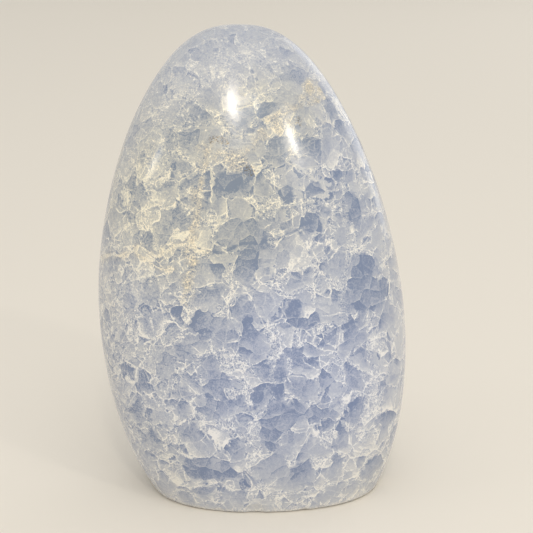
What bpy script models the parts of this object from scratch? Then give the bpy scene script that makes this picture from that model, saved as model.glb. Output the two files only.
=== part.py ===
"""Blue calcite freeform: one polished, egg-shaped piece of coarse-grained calcite that stands on a flat sawn base.

Metres, +Z up. The origin is at the middle of the piece's outer box, on the plane that it stands on.
The broad front faces -Y, and the thickness is along Y.
"""

import math

import bmesh
import bpy
from mathutils import Matrix, Vector

# Driving dimensions.
HEIGHT = 0.130
CENTRE_HEIGHT = 0.056  # middle of the egg before its lower end is sawn off
HALF_WIDTH = 0.0424  # at the middle's height
HALF_DEPTH = 0.029  # at the middle's height
ARRIS_RADIUS = 0.001  # the worn edge round the sawn base

# Form of the egg. A power of 2 gives an ellipse, and a higher one a fuller curve.
PROFILE_POWER = 2.5
PLAN_POWER = 2.2
WIDTH_TAPER = 0.13  # share of the half-width lost from the middle to the top
DEPTH_TAPER = 0.24  # the same for the half-depth: the stone is thickest low down
END_TAPER = 0.092  # share of both lost towards each end

# How the stone leans: hand grinding left its top off the middle of its base.
SIDE_LEAN = 0.0075  # the top lies this far towards -X
SIDE_LEAN_POWER = 1.5  # above 1, the lean is gathered in the lower half
BACK_LEAN = 0.005  # the top lies this far towards +Y
TURN = math.radians(5)  # the plan is turned this far about +Z, which brings its -X end forward

# Mesh. One ring of the sphere lies well clear of the saw cut, so the cut leaves no slivers.
SEGMENTS = 64
RINGS = 46
ARRIS_STEPS = 3
SMOOTH_ANGLE = math.radians(30)

# Finish. Linear colour of the stone's average blue-grey.
STONE_COLOUR = (0.49, 0.51, 0.58, 1.0)
STONE_ROUGHNESS = 0.15

COLLECTION_NAME = "Blue calcite freeform"
STONE_NAME = "calcite_freeform"


def clear_scene():
    """Remove every object that the scene starts with."""
    for obj in list(bpy.data.objects):
        bpy.data.objects.remove(obj, do_unlink=True)


def polished_calcite():
    """The stone's material: opaque, blue-grey and polished."""
    material = bpy.data.materials.new("Polished blue calcite")
    material.use_nodes = True
    shader = material.node_tree.nodes["Principled BSDF"]
    shader.inputs["Base Color"].default_value = STONE_COLOUR
    shader.inputs["Roughness"].default_value = STONE_ROUGHNESS
    shader.inputs["Metallic"].default_value = 0.0
    material.diffuse_color = STONE_COLOUR
    return material


def half_extent(level, half_size, taper):
    """Half the egg's width or depth at a level from -1, its lower end, to 1, its top."""
    round_off = max(0.0, 1 - level * level) ** (1 / PROFILE_POWER)
    return half_size * round_off * (1 - taper * level - END_TAPER * level * level)


def plan_share(component):
    """One component of a unit direction, pushed out from a circle to the plan's fuller curve."""
    return math.copysign(abs(component) ** (2 / PLAN_POWER), component)


def egg_point(on_sphere):
    """Where a point of the unit sphere lies on the upright egg, before it leans."""
    across = math.hypot(on_sphere.x, on_sphere.y)
    level = on_sphere.z
    x, y = 0.0, 0.0
    if across > 0:
        x = half_extent(level, HALF_WIDTH, WIDTH_TAPER) * plan_share(on_sphere.x / across)
        y = half_extent(level, HALF_DEPTH, DEPTH_TAPER) * plan_share(on_sphere.y / across)
    return Vector((x, y, CENTRE_HEIGHT + level * (HEIGHT - CENTRE_HEIGHT)))


def leaned(point):
    """The point moved with its level: sideways along a curve, and back in proportion to height."""
    share = point.z / HEIGHT
    side = SIDE_LEAN * (1 - max(0.0, 1 - share) ** SIDE_LEAN_POWER)
    return point + Vector((-side, BACK_LEAN * share, 0))


def shape_egg(bm):
    """Push a unit sphere out to the leaning egg."""
    bmesh.ops.create_uvsphere(bm, u_segments=SEGMENTS, v_segments=RINGS, radius=1)
    turn = Matrix.Rotation(TURN, 3, "Z")
    for vert in bm.verts:
        vert.co = leaned(turn @ egg_point(vert.co))


def saw_base(bm):
    """Cut the egg off flat at z = 0, close the cut with one face and round its edge."""
    bmesh.ops.bisect_plane(
        bm,
        geom=bm.verts[:] + bm.edges[:] + bm.faces[:],
        plane_co=(0, 0, 0),
        plane_no=(0, 0, 1),
        clear_inner=True,
    )
    rim = [edge for edge in bm.edges if edge.is_boundary]
    bmesh.ops.contextual_create(bm, geom=rim)
    bmesh.ops.bevel(
        bm,
        geom=rim,
        offset=ARRIS_RADIUS,
        segments=ARRIS_STEPS,
        profile=0.5,
        affect="EDGES",
        clamp_overlap=True,
    )
    bmesh.ops.recalc_face_normals(bm, faces=bm.faces)


def centre_box(bm):
    """Slide the stone along its standing plane until its outer box is centred on the origin."""
    xs = [vert.co.x for vert in bm.verts]
    ys = [vert.co.y for vert in bm.verts]
    middle = Vector(((min(xs) + max(xs)) / 2, (min(ys) + max(ys)) / 2, 0))
    bmesh.ops.translate(bm, verts=bm.verts, vec=-middle)


def build_stone(collection):
    """The whole stone as one closed solid."""
    bm = bmesh.new()
    shape_egg(bm)
    saw_base(bm)
    centre_box(bm)
    mesh = bpy.data.meshes.new(STONE_NAME)
    bm.to_mesh(mesh)
    bm.free()
    mesh.shade_smooth()
    mesh.set_sharp_from_angle(angle=SMOOTH_ANGLE)
    mesh.materials.append(polished_calcite())
    stone = bpy.data.objects.new(STONE_NAME, mesh)
    collection.objects.link(stone)
    return stone


def main():
    clear_scene()
    collection = bpy.data.collections.new(COLLECTION_NAME)
    bpy.context.scene.collection.children.link(collection)
    build_stone(collection)


main()
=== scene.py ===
"""Looks of the blue calcite freeform: one polished stone of coarse grains, on a pale floor in soft light.

Metres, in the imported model's own frame: +Z up, the broad front towards -Y. Patterns are in millimetres.
"""

import logging
import math
from collections.abc import Iterable, Mapping
from dataclasses import dataclass
from enum import Enum

import bpy
import numpy as np
from mathutils import Matrix, Vector, noise


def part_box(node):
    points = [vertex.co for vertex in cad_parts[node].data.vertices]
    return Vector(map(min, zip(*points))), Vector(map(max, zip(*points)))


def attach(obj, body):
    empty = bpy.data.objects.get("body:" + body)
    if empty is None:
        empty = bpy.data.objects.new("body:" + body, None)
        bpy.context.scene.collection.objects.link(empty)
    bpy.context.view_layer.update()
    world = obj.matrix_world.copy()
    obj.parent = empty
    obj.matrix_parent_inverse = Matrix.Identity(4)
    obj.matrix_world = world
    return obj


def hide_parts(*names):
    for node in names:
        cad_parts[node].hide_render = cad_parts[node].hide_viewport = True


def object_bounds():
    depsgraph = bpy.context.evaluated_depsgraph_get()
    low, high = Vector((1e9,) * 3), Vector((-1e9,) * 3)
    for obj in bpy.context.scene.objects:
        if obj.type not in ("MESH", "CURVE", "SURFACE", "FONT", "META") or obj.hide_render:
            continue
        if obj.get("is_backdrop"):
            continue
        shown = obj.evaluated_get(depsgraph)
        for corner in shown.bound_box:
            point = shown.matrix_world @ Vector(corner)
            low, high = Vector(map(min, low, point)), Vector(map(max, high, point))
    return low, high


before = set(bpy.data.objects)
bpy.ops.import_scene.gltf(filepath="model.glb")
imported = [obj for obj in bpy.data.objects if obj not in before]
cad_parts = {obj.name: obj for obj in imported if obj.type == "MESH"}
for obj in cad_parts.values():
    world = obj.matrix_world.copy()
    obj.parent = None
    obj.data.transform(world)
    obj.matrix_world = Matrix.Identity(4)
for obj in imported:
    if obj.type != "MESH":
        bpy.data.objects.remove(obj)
CAD_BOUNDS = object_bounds()

LOG = logging.getLogger("freeform")

CAD_NODE = "calcite_freeform"
IMAGE_SIDE_PX = 533
MM_PER_M = 1000.0
INWARD = "inward"

MATH = "ShaderNodeMath"
VECTOR = "ShaderNodeVectorMath"
NOISE = "ShaderNodeTexNoise"
VORONOI = "ShaderNodeTexVoronoi"
RANGE = "ShaderNodeMapRange"
MIX = "ShaderNodeMix"
SPLIT = "ShaderNodeSeparateColor"
SMOOTH = "SMOOTHSTEP"

# A Mix node has its own sockets for numbers, for vectors and for colours.
NUMBER_A, NUMBER_B = 2, 3
VECTOR_A, VECTOR_B, VECTOR_RESULT = 4, 5, 1
COLOUR_A, COLOUR_B, COLOUR_RESULT = 6, 7, 2

# More half-sizes or half-widths away than any mark reaches.
FAR = 9.0

# Stands in for nought where something is divided by a length.
LEAST = 1e-6

Value = float | tuple | bpy.types.NodeSocket | bpy.types.Node
Triple = Vector | tuple[float, float, float]


def linear(hex_colour: str) -> tuple[float, float, float, float]:
    """Turn an sRGB colour into the linear values that shaders work in.

    Args:
        hex_colour: six hex digits after a hash.

    Returns:
        Linear red, green and blue, and an alpha of 1.
    """
    digits = hex_colour.lstrip("#")
    shares = [int(digits[i : i + 2], 16) / 255 for i in (0, 2, 4)]
    light = [s / 12.92 if s <= 0.04045 else ((s + 0.055) / 1.055) ** 2.4 for s in shares]
    return (*light, 1.0)


@dataclass
class NodeSheet:
    """A material's node tree as it is filled in."""

    tree: bpy.types.NodeTree

    def add(self, kind: str, inputs: Mapping[str | int, Value], **settings: object) -> bpy.types.Node:
        """Add a node with its settings, constants and links.

        Args:
            kind: the node's type name.
            inputs: what each input gets, by name or place: a constant, a socket, or a node's first output.
            settings: attributes set on the node itself.

        Returns:
            The new node.
        """
        node = self.tree.nodes.new(kind)
        for name, setting in settings.items():
            setattr(node, name, setting)
        for key, value in inputs.items():
            if isinstance(value, bpy.types.Node):
                value = value.outputs[0]
            if isinstance(value, bpy.types.NodeSocket):
                self.tree.links.new(value, node.inputs[key])
            else:
                node.inputs[key].default_value = value
        return node


class SpotKind(Enum):
    """What a listed group of grains looks like."""

    DEEP = "clear a long way down, so it shows the strongest blue"
    GREY = "clear but shallow, a soft blue-grey"
    PALE = "one large clear grain with a pale grain close behind it"
    MILKY = "clouded through, near white"
    CREAM = "clouded, and stained by iron"
    RUSTY = "clouded, and peppered with brown specks of iron"
    # A pit is only painted: its dark inside is painted shade, and no hole is cut in the mesh.
    PIT = "a small hole in the face, dark inside"


@dataclass(frozen=True)
class Spot:
    """A group of like grains on the broad front, placed as it is seen from there. Millimetres."""

    kind: SpotKind
    x: float
    z: float
    half_width: float
    half_height: float


@dataclass(frozen=True)
class PlacedSpot:
    """A spot where it lies on the stone, with its middle and its three half-sizes. Millimetres."""

    kind: SpotKind
    centre: Vector
    radii: Vector


# The grains on the front that catch the eye, from the top down.
SPOTS = (
    Spot(SpotKind.DEEP, 10, 118, 3.7, 2.1),
    Spot(SpotKind.PALE, 10.3, 113, 3.4, 3.7),
    Spot(SpotKind.CREAM, 16.7, 113, 2.9, 3.7),
    Spot(SpotKind.DEEP, 4.7, 109.5, 2.7, 1.7),
    Spot(SpotKind.GREY, 12.7, 109, 2.8, 2.1),
    Spot(SpotKind.CREAM, 6.6, 106.5, 3.6, 2.2),
    Spot(SpotKind.GREY, -16, 102, 2.6, 2.6),
    Spot(SpotKind.GREY, 2.1, 103, 2.0, 2.2),
    Spot(SpotKind.PALE, 0.2, 99.7, 3.2, 2.4),
    Spot(SpotKind.CREAM, -2.9, 96.5, 2.4, 2.4),
    Spot(SpotKind.GREY, 25, 92, 1.6, 2.7),
    Spot(SpotKind.DEEP, -6.5, 91.5, 3.4, 3.5),
    Spot(SpotKind.DEEP, 16, 90, 2.3, 2.0),
    Spot(SpotKind.DEEP, 9, 87, 2.4, 2.9),
    Spot(SpotKind.MILKY, 4, 85, 3.7, 2.9),
    Spot(SpotKind.MILKY, 15, 85, 2.9, 2.1),
    Spot(SpotKind.DEEP, 27, 83, 3.2, 4.5),
    Spot(SpotKind.GREY, -2, 79, 6.4, 3.5),
    Spot(SpotKind.DEEP, 15, 79, 2.7, 2.1),
    Spot(SpotKind.GREY, -23, 79, 2.1, 3.7),
    Spot(SpotKind.DEEP, 0, 72, 2.4, 2.9),
    Spot(SpotKind.PALE, 7.3, 72.5, 4.2, 3.4),
    Spot(SpotKind.DEEP, -9, 69, 2.0, 2.0),
    Spot(SpotKind.DEEP, 30, 63, 3.8, 8.0),
    Spot(SpotKind.PALE, 19.6, 58, 4.4, 3.4),
    Spot(SpotKind.DEEP, 11, 57, 1.9, 3.2),
    Spot(SpotKind.DEEP, -13, 56, 3.6, 3.6),
    Spot(SpotKind.DEEP, 26, 54.4, 2.2, 1.6),
    Spot(SpotKind.DEEP, 15, 55, 2.7, 1.9),
    Spot(SpotKind.MILKY, 5.2, 51, 1.6, 4.5),
    Spot(SpotKind.DEEP, -1, 51, 2.1, 4.8),
    Spot(SpotKind.DEEP, 11, 47, 3.5, 2.1),
    Spot(SpotKind.GREY, -17, 50, 2.6, 3.0),
    Spot(SpotKind.GREY, -23, 43, 3.2, 4.8),
    Spot(SpotKind.DEEP, 8, 40, 2.1, 1.3),
    Spot(SpotKind.GREY, -9, 39, 2.8, 2.8),
    Spot(SpotKind.DEEP, 20, 38, 2.1, 3.2),
    Spot(SpotKind.DEEP, 6, 36, 2.3, 2.3),
    Spot(SpotKind.MILKY, 32, 33, 2.4, 7.5),
    Spot(SpotKind.GREY, -11, 32, 3.0, 2.6),
    Spot(SpotKind.GREY, 18, 29, 4.0, 2.5),
    Spot(SpotKind.DEEP, 7, 28, 4.8, 4.5),
    Spot(SpotKind.MILKY, 1.8, 23.5, 0.9, 1.8),
    Spot(SpotKind.DEEP, 6, 21, 2.0, 2.0),
    Spot(SpotKind.GREY, -10, 15, 6.1, 3.2),
    Spot(SpotKind.MILKY, 18, 15, 2.9, 1.6),
    Spot(SpotKind.DEEP, 13, 14, 2.5, 2.5),
    Spot(SpotKind.DEEP, -1, 11, 1.9, 1.9),
    Spot(SpotKind.CREAM, -26, 5.8, 1.4, 1.1),
    # More of them about the foot.
    Spot(SpotKind.DEEP, -14.2, 14.5, 3.8, 3.0),
    Spot(SpotKind.DEEP, -7.0, 12.8, 3.2, 1.8),
    Spot(SpotKind.GREY, 5.8, 14.6, 2.6, 3.6),
    Spot(SpotKind.GREY, 14.2, 10.5, 3.0, 2.0),
    Spot(SpotKind.MILKY, -20.0, 13.5, 2.6, 2.6),
    Spot(SpotKind.MILKY, -1.2, 16.0, 1.6, 3.2),
    Spot(SpotKind.MILKY, 1.5, 9.6, 1.5, 2.6),
    Spot(SpotKind.MILKY, -4.0, 1.5, 3.4, 1.2),
    # Rust below the crown.
    Spot(SpotKind.RUSTY, -9.0, 101.8, 2.4, 0.9),
    Spot(SpotKind.RUSTY, -0.8, 93.7, 1.6, 1.4),
    Spot(SpotKind.RUSTY, 11.9, 106.5, 0.9, 1.0),
    # Soft grey grains above and below the fissure.
    Spot(SpotKind.GREY, -27.0, 62.0, 2.6, 3.0),
    Spot(SpotKind.GREY, -30.5, 77.5, 2.2, 2.6),
    Spot(SpotKind.GREY, -33.0, 58.0, 1.8, 3.4),
    Spot(SpotKind.GREY, -21.5, 64.0, 2.0, 1.6),
    # Three small pits, painted dark as the shade inside a hole; the mesh has no hole there.
    Spot(SpotKind.PIT, -20.6, 95.2, 0.8, 1.0),
    Spot(SpotKind.PIT, -20.5, 86.5, 0.7, 0.6),
    Spot(SpotKind.PIT, -2.6, 10.1, 1.0, 1.3),
)


class SeamKind(Enum):
    """What has healed a crack."""

    FISSURE = "crisp white calcite with a cream stain beside it"
    BAND = "a band of milky grains, stained cream"
    BEADED = "a thin string of clouded grains"
    HAIRLINE = "nothing: the crack is closed, and shows as a thin dark line"
    FLAKE = "nothing: its open edge inside the stone catches the light"


@dataclass(frozen=True)
class Seam:
    """A crack on the broad front, by the points that it runs through as seen from there. Millimetres."""

    kind: SeamKind
    half_width: float
    course: tuple[tuple[float, float], ...]


SEAMS = (
    Seam(
        SeamKind.FISSURE,
        0.5,
        ((-42, 67.5), (-35.5, 71), (-30, 74), (-25, 72.8), (-18.5, 75.2), (-12, 74.3)),
    ),
    Seam(SeamKind.FISSURE, 0.35, ((-32, 73), (-28, 70.5), (-21, 69.5))),
    Seam(SeamKind.BAND, 1.5, ((-12, 101), (-13.5, 92), (-15.5, 78), (-17, 62))),
    Seam(SeamKind.BAND, 1.4, ((-12, 99), (-3, 97), (6, 107), (16, 113))),
    Seam(SeamKind.BEADED, 0.9, ((24, 91), (25.2, 72), (24, 55))),
    Seam(SeamKind.BEADED, 0.5, ((-38, 68), (-37, 50))),
    Seam(SeamKind.BEADED, 0.7, ((4.5, 54), (5.2, 44), (6, 39))),
    Seam(SeamKind.HAIRLINE, 0.3, ((-12, 74.3), (3, 76.5), (15, 80))),
    Seam(SeamKind.FLAKE, 0.25, ((18.5, 56.7), (24.2, 56.9))),
    Seam(SeamKind.FLAKE, 0.25, ((9.2, 68.5), (12.1, 69.4), (15.8, 70.2))),
    Seam(SeamKind.FLAKE, 0.25, ((-17.7, 52.3), (-16.4, 53.2), (-15.3, 52.6), (-14.3, 53.5))),
    Seam(SeamKind.FLAKE, 0.35, ((-30.6, 68), (-30.1, 66))),
    Seam(SeamKind.FLAKE, 0.35, ((-27.2, 55.2), (-26.9, 53.2))),
    Seam(SeamKind.FLAKE, 0.3, ((-8.4, 8.7), (-7.4, 10.4), (-5.9, 10.4), (-5.0, 8.8), (-5.0, 6.6))),
    Seam(SeamKind.FLAKE, 0.25, ((-1.5, 13), (-0.4, 11.1), (-0.2, 8.8), (-1.0, 6.9))),
)


@dataclass(frozen=True)
class SeamEdge:
    """How the sides of one kind of seam run, in half-widths of the seam.

    Attributes:
        stray: how far they stray from the seam's course.
        outside: where the seam ends.
        inside: where it is whole.
        stepped: whether it steps from grain to grain.
    """

    stray: float
    outside: float
    inside: float
    stepped: bool


SEAM_EDGES = {
    SeamKind.FISSURE: SeamEdge(0.8, 1.1, 0.5, False),
    SeamKind.FLAKE: SeamEdge(1.0, 1.3, 0.5, False),
    SeamKind.BAND: SeamEdge(1.6, 1.5, 0.2, True),
    SeamKind.BEADED: SeamEdge(0.7, 1.2, 0.5, True),
    SeamKind.HAIRLINE: SeamEdge(0.0, 1.3, 0.5, True),
}


@dataclass(frozen=True)
class Region:
    """An egg-shaped part of the stone with a soft edge, and what changes at its middle. Millimetres."""

    change: float
    centre: tuple[float, float, float]
    radii: tuple[float, float, float]


@dataclass(frozen=True)
class GrainSize:
    """One size of grain, and the light and shade painted on it from one fixed direction.

    Attributes:
        size_mm: the grains' size.
        caught: how much painted light a boundary adds to the stone over it when it faces the light.
        shaded: how much lighter a grain is painted on its side away from the light.
        deepest: the tone of the grain that is clear deepest down.
        palest: the tone of the shallowest one.
        line: how much lighter the line along the boundaries is.
    """

    size_mm: float
    caught: float
    shaded: float
    deepest: float
    palest: float
    line: float


@dataclass(frozen=True)
class Grains:
    """What the grains of one size give at a place.

    Attributes:
        chance: three random numbers for the grain that the place is in.
        middle: that grain's middle.
        edge: how far its nearest boundary is, in millimetres.
        facing: how squarely that boundary faces the painted light.
        glow: how much painted light the grain catches there.
        tone: how light the grain is there if it is clear, with its painted light.
    """

    chance: bpy.types.Node
    middle: Value
    edge: Value
    facing: Value
    glow: Value
    tone: Value


@dataclass(frozen=True)
class Ground:
    """Where a place on the stone is, and the noises and grains that several patterns share there.

    Attributes:
        place: the place, in millimetres.
        back: how far back it is, its Y.
        up: how high it is, its Z.
        bent: the place moved about softly, so what is looked up there wanders.
        frayed: the place moved about finely too.
        fray: the noise that frays it.
        cloud: a broad noise.
        milk: a noise as coarse as the milk's edge.
        patches: a noise that breaks up lines and stains.
        grit: the finest noise.
        sugar: the smallest grains.
        sugar_chance: three random numbers for each of those.
        coarse: the largest grains.
        medium: the next largest.
        flank: 1 on the left flank, 0 on the rest.
        haze: 1 where the stone is hazy, 0 where it isn't.
    """

    place: Value
    back: Value
    up: Value
    bent: Value
    frayed: Value
    fray: bpy.types.Node
    cloud: Value
    milk: Value
    patches: Value
    grit: Value
    sugar: bpy.types.Node
    sugar_chance: bpy.types.Node
    coarse: Grains
    medium: Grains
    flank: Value
    haze: Value


@dataclass(frozen=True)
class Windows:
    """The clear grains at a place.

    Attributes:
        clear: 1 in a clear grain, 0 in milk.
        coarse: 1 in a clear grain of the largest size.
        whole: 1 in a clear grain that is placed one by one or, behind, by chance.
        clouded: 1 in a milky or cream grain that is placed one by one.
        cream: 1 in a cream one.
        tone: how light a clear grain is there.
    """

    clear: Value
    coarse: Value
    whole: Value
    clouded: Value
    cream: Value
    tone: Value


@dataclass(frozen=True)
class Milk:
    """The fine detail of the clouded grains, lighter and darker, and how crisp all detail is at a place."""

    detail: Value
    crisp: Value


@dataclass(frozen=True)
class Cracks:
    """How far a place lies in bright cracks, healed ones, the closed one and the cream stain."""

    bright: Value
    healed: Value
    hairline: Value
    stained: Value


@dataclass(frozen=True)
class PolishedCalcite:
    """Coarse blue calcite, ground and waxed.

    Clear grains read blue and clouded ones white, with pale lines between them, under a soft sheen.
    """

    spots: tuple[PlacedSpot, ...]
    seams: tuple[Seam, ...] = SEAMS
    name: str = "Polished blue calcite"
    coarse: GrainSize = GrainSize(8.0, 0.50, 0.28, 0.10, 0.50, 0.60)
    medium: GrainSize = GrainSize(3.4, 0.42, 0.20, 0.10, 0.54, 0.46)
    sugar_mm: float = 1.0
    line_mm: float = 0.28

    # The real stone's streaks and grit are finer than a pixel, so both are drawn coarse enough to show.
    fibre_mm: float = 0.45
    grit_mm: float = 0.4

    # Sizes of the broader noises, and how far two of them move what is looked up.
    drift_mm: float = 26.0
    cloud_mm: float = 9.0
    bend_mm: float = 8.0
    patch_mm: float = 2.5
    milk_mm: float = 1.7
    fray_mm: float = 1.3
    bend_reach_mm: float = 4.0
    fray_reach_mm: float = 0.7

    # At half_depth, in grain sizes, a boundary is seen half as well. One slants in by least_dip or more.
    half_depth: float = 0.34
    least_dip: float = 0.12
    base_glow: float = 0.02

    # Painted light and shade on the grains, from one direction in the stone and not from the lamps: the
    # bend noise is a half on average, so it comes from above and in front, and swings.
    light_outward: float = 0.55
    light_offset: tuple[float, float, float] = (-2.15, 0.0, -0.2)
    light_swing: tuple[float, float, float] = (4.0, 0.0, 2.0)

    # Parts of the stone that are lighter, darker and flatter under painted shade, crisper, or warmer and
    # cooler.
    lighter: tuple[Region, ...] = (
        Region(0.12, (-34.0, -15.0, 80.0), (24.0, 40.0, 30.0)),
        # A painted pale reflection down the right edge.
        Region(0.10, (44.0, -8.0, 64.0), (16.0, 36.0, 66.0)),
        Region(0.10, (26.0, -18.0, 14.0), (18.0, 30.0, 22.0)),
    )
    # Painted shade over the upper front, darkening it and flattening its contrast.
    painted_shade: Region = Region(-0.17, (4.0, -20.0, 92.0), (36.0, 45.0, 38.0))
    painted_shade_darkens: float = 0.05
    crispness: float = 0.82
    crisper: Region = Region(0.50, (-4.0, -25.0, 60.0), (52.0, 60.0, 84.0))
    warmth: float = 0.46
    warmer: tuple[Region, ...] = (
        Region(0.66, (-14.0, -20.0, 88.0), (38.0, 45.0, 38.0)),
        # Warmer about the crown: the stone's own haze, and the warm glow round the highlight painted in.
        Region(0.50, (6.0, -14.0, 108.0), (24.0, 30.0, 16.0)),
        Region(-0.42, (10.0, -24.0, 38.0), (42.0, 45.0, 42.0)),
    )

    # How much the haze and the healed cracks hide of what is under them.
    veil: float = 0.50
    healed: float = 0.6

    # Colours, from a clear grain seen deep down to bright milk, and the tints laid over them.
    ramp: tuple[tuple[float, str], ...] = (
        (0.0, "#7b8baa"),
        (0.10, "#8f9bb4"),
        (0.22, "#a2abbf"),
        (0.38, "#b4bac8"),
        (0.55, "#c0c5ce"),
        (0.72, "#d0d2d6"),
        (0.86, "#dfe0df"),
        (1.0, "#f3f1ec"),
    )
    cool_tint: str = "#eef2ff"
    warm_tint: str = "#f9f4e4"
    stain_tint: str = "#fff2d8"
    rust_tint: str = "#e0c090"

    # The polish: calcite's mean index, a wax coat, and light let in a little way.
    ior: float = 1.58
    milky_roughness: float = 0.38
    clear_roughness: float = 0.22
    grit_height_mm: float = 0.05
    grit_strength: float = 0.5
    coat: float = 0.5
    coat_roughness: float = 0.13
    coat_ior: float = 1.5
    scatter: float = 0.25
    scatter_mm: float = 2.0
    scatter_shares: tuple[float, float, float] = (0.8, 0.9, 1.0)

    def grains(
        self, sheet: NodeSheet, place: Value, light: Value, inward: Value, size: GrainSize
    ) -> Grains:
        """Lay out the grains of one size, look at the boundary nearest to each place, and paint light and
        shade on each grain.

        Args:
            sheet: the material's nodes.
            place: where to look, in millimetres.
            light: the direction that the painted light comes from.
            inward: the direction into the stone.
            size: the grains' size and how they take the light.

        Returns:
            What the grains give there.
        """
        add = sheet.add
        own = add(VORONOI, {"Vector": place, "Scale": 1 / size.size_mm})
        other = add(VORONOI, {"Vector": place, "Scale": 1 / size.size_mm}, feature="F2")
        own_middle, other_middle = own.outputs["Position"], other.outputs["Position"]
        step = add(VECTOR, {0: other_middle, 1: own_middle}, operation="SUBTRACT")
        step = add(VECTOR, {0: step}, operation="NORMALIZE")
        between = add(MIX, {0: 0.5, VECTOR_A: own_middle, VECTOR_B: other_middle}, data_type="VECTOR")
        gap = add(VECTOR, {0: between.outputs[VECTOR_RESULT], 1: place}, operation="SUBTRACT")
        edge = add(VECTOR, {0: gap, 1: step}, operation="DOT_PRODUCT").outputs["Value"]
        dip = add(VECTOR, {0: step, 1: inward}, operation="DOT_PRODUCT").outputs["Value"]
        dip = add(MATH, {0: dip, 1: self.least_dip}, operation="MAXIMUM")
        depth = add(MATH, {0: edge, 1: dip}, operation="DIVIDE")
        half_depth_mm = self.half_depth * size.size_mm
        seen = add(MATH, {0: 0.5 ** (1 / half_depth_mm), 1: depth}, operation="POWER")
        facing = add(VECTOR, {0: step, 1: light}, operation="DOT_PRODUCT").outputs["Value"]
        facing = add(MATH, {0: facing, 1: -1.0}, operation="MULTIPLY")
        off_middle = add(VECTOR, {0: own_middle, 1: place}, operation="SUBTRACT")
        shade = add(VECTOR, {0: off_middle, 1: light}, operation="DOT_PRODUCT").outputs["Value"]
        shade = add(MATH, {0: shade, 1: size.size_mm}, operation="DIVIDE")
        # Painted light: a boundary that faces the light lightens the grain over it, and the grain's far
        # side is painted lighter.
        glow = add(MATH, {0: facing, 1: size.caught, 2: self.base_glow}, operation="MULTIPLY_ADD")
        glow = add(MATH, {0: glow, 1: seen}, operation="MULTIPLY")
        glow = add(MATH, {0: shade, 1: size.shaded, 2: glow}, operation="MULTIPLY_ADD")
        chance = add(SPLIT, {0: own.outputs["Color"]})
        tone = add(RANGE, {"Value": chance.outputs[1], "To Min": size.deepest, "To Max": size.palest})
        tone = add(MATH, {0: tone, 1: glow}, operation="ADD")
        return Grains(chance, own_middle, edge, facing, glow, tone)

    def ground(self, sheet: NodeSheet) -> Ground:
        """Work out the noises and grains that the patterns share.

        Args:
            sheet: the material's nodes.

        Returns:
            What they give at each place.
        """
        add = sheet.add
        coordinates = add("ShaderNodeTexCoord", {})
        place = add(VECTOR, {0: coordinates.outputs["Object"], "Scale": MM_PER_M}, operation="SCALE")
        parts = add("ShaderNodeSeparateXYZ", {0: place})
        inward = add("ShaderNodeAttribute", {}, attribute_name=INWARD).outputs["Vector"]
        bend = add(NOISE, {"Vector": place, "Scale": 1 / self.bend_mm, "Detail": 1.0})
        bend = bend.outputs["Color"]
        # The direction of the painted light, fixed in the stone.
        outward = (-self.light_outward,) * 3
        light = add(VECTOR, {0: inward, 1: outward, 2: self.light_offset}, operation="MULTIPLY_ADD")
        light = add(VECTOR, {0: bend, 1: self.light_swing, 2: light}, operation="MULTIPLY_ADD")
        light = add(VECTOR, {0: light}, operation="NORMALIZE")

        # Grain boundaries wander a little at two sizes.
        bent = add(VECTOR, {0: bend, 1: (self.bend_reach_mm,) * 3, 2: place}, operation="MULTIPLY_ADD")
        bent = add(VECTOR, {0: bent, 1: (self.bend_reach_mm / 2,) * 3}, operation="SUBTRACT")
        fray = add(NOISE, {"Vector": place, "Scale": 1 / self.fray_mm, "Detail": 2.0, "Roughness": 0.45})
        frayed = {0: fray.outputs["Color"], 1: (self.fray_reach_mm,) * 3, 2: bent}
        frayed = add(VECTOR, frayed, operation="MULTIPLY_ADD")
        frayed = add(VECTOR, {0: frayed, 1: (self.fray_reach_mm / 2,) * 3}, operation="SUBTRACT")
        sugar = add(VORONOI, {"Vector": bent, "Scale": 1 / self.sugar_mm})

        # The crown and the shoulder left of it are hazier than the rest.
        flank = add(RANGE, {"Value": parts.outputs["X"], "From Min": -10.0, "From Max": -32.0})
        crown = add(RANGE, {"Value": parts.outputs["Z"], "From Min": 106.0, "From Max": 120.0})
        shoulder = add(RANGE, {"Value": parts.outputs["Z"], "From Min": 84.0, "From Max": 104.0})
        shoulder = add(MATH, {0: flank, 1: shoulder}, operation="MULTIPLY")
        cloud = {"Vector": place, "Scale": 1 / self.cloud_mm, "Detail": 3.0, "Roughness": 0.6}
        milk = {"Vector": place, "Scale": 1 / self.milk_mm, "Detail": 3.0, "Roughness": 0.6}
        grit = {"Vector": place, "Scale": 1 / self.grit_mm, "Detail": 2.0, "Roughness": 0.8}
        return Ground(
            place=place,
            back=parts.outputs["Y"],
            up=parts.outputs["Z"],
            bent=bent,
            frayed=frayed,
            fray=fray,
            cloud=add(NOISE, cloud),
            milk=add(NOISE, milk),
            patches=add(NOISE, {"Vector": place, "Scale": 1 / self.patch_mm, "Detail": 2.0}),
            grit=add(NOISE, grit),
            sugar=sugar,
            sugar_chance=add(SPLIT, {0: sugar.outputs["Color"]}),
            coarse=self.grains(sheet, frayed, light, inward, self.coarse),
            medium=self.grains(sheet, frayed, light, inward, self.medium),
            flank=flank,
            haze=add(MATH, {0: shoulder, 1: crown}, operation="MAXIMUM"),
        )

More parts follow.
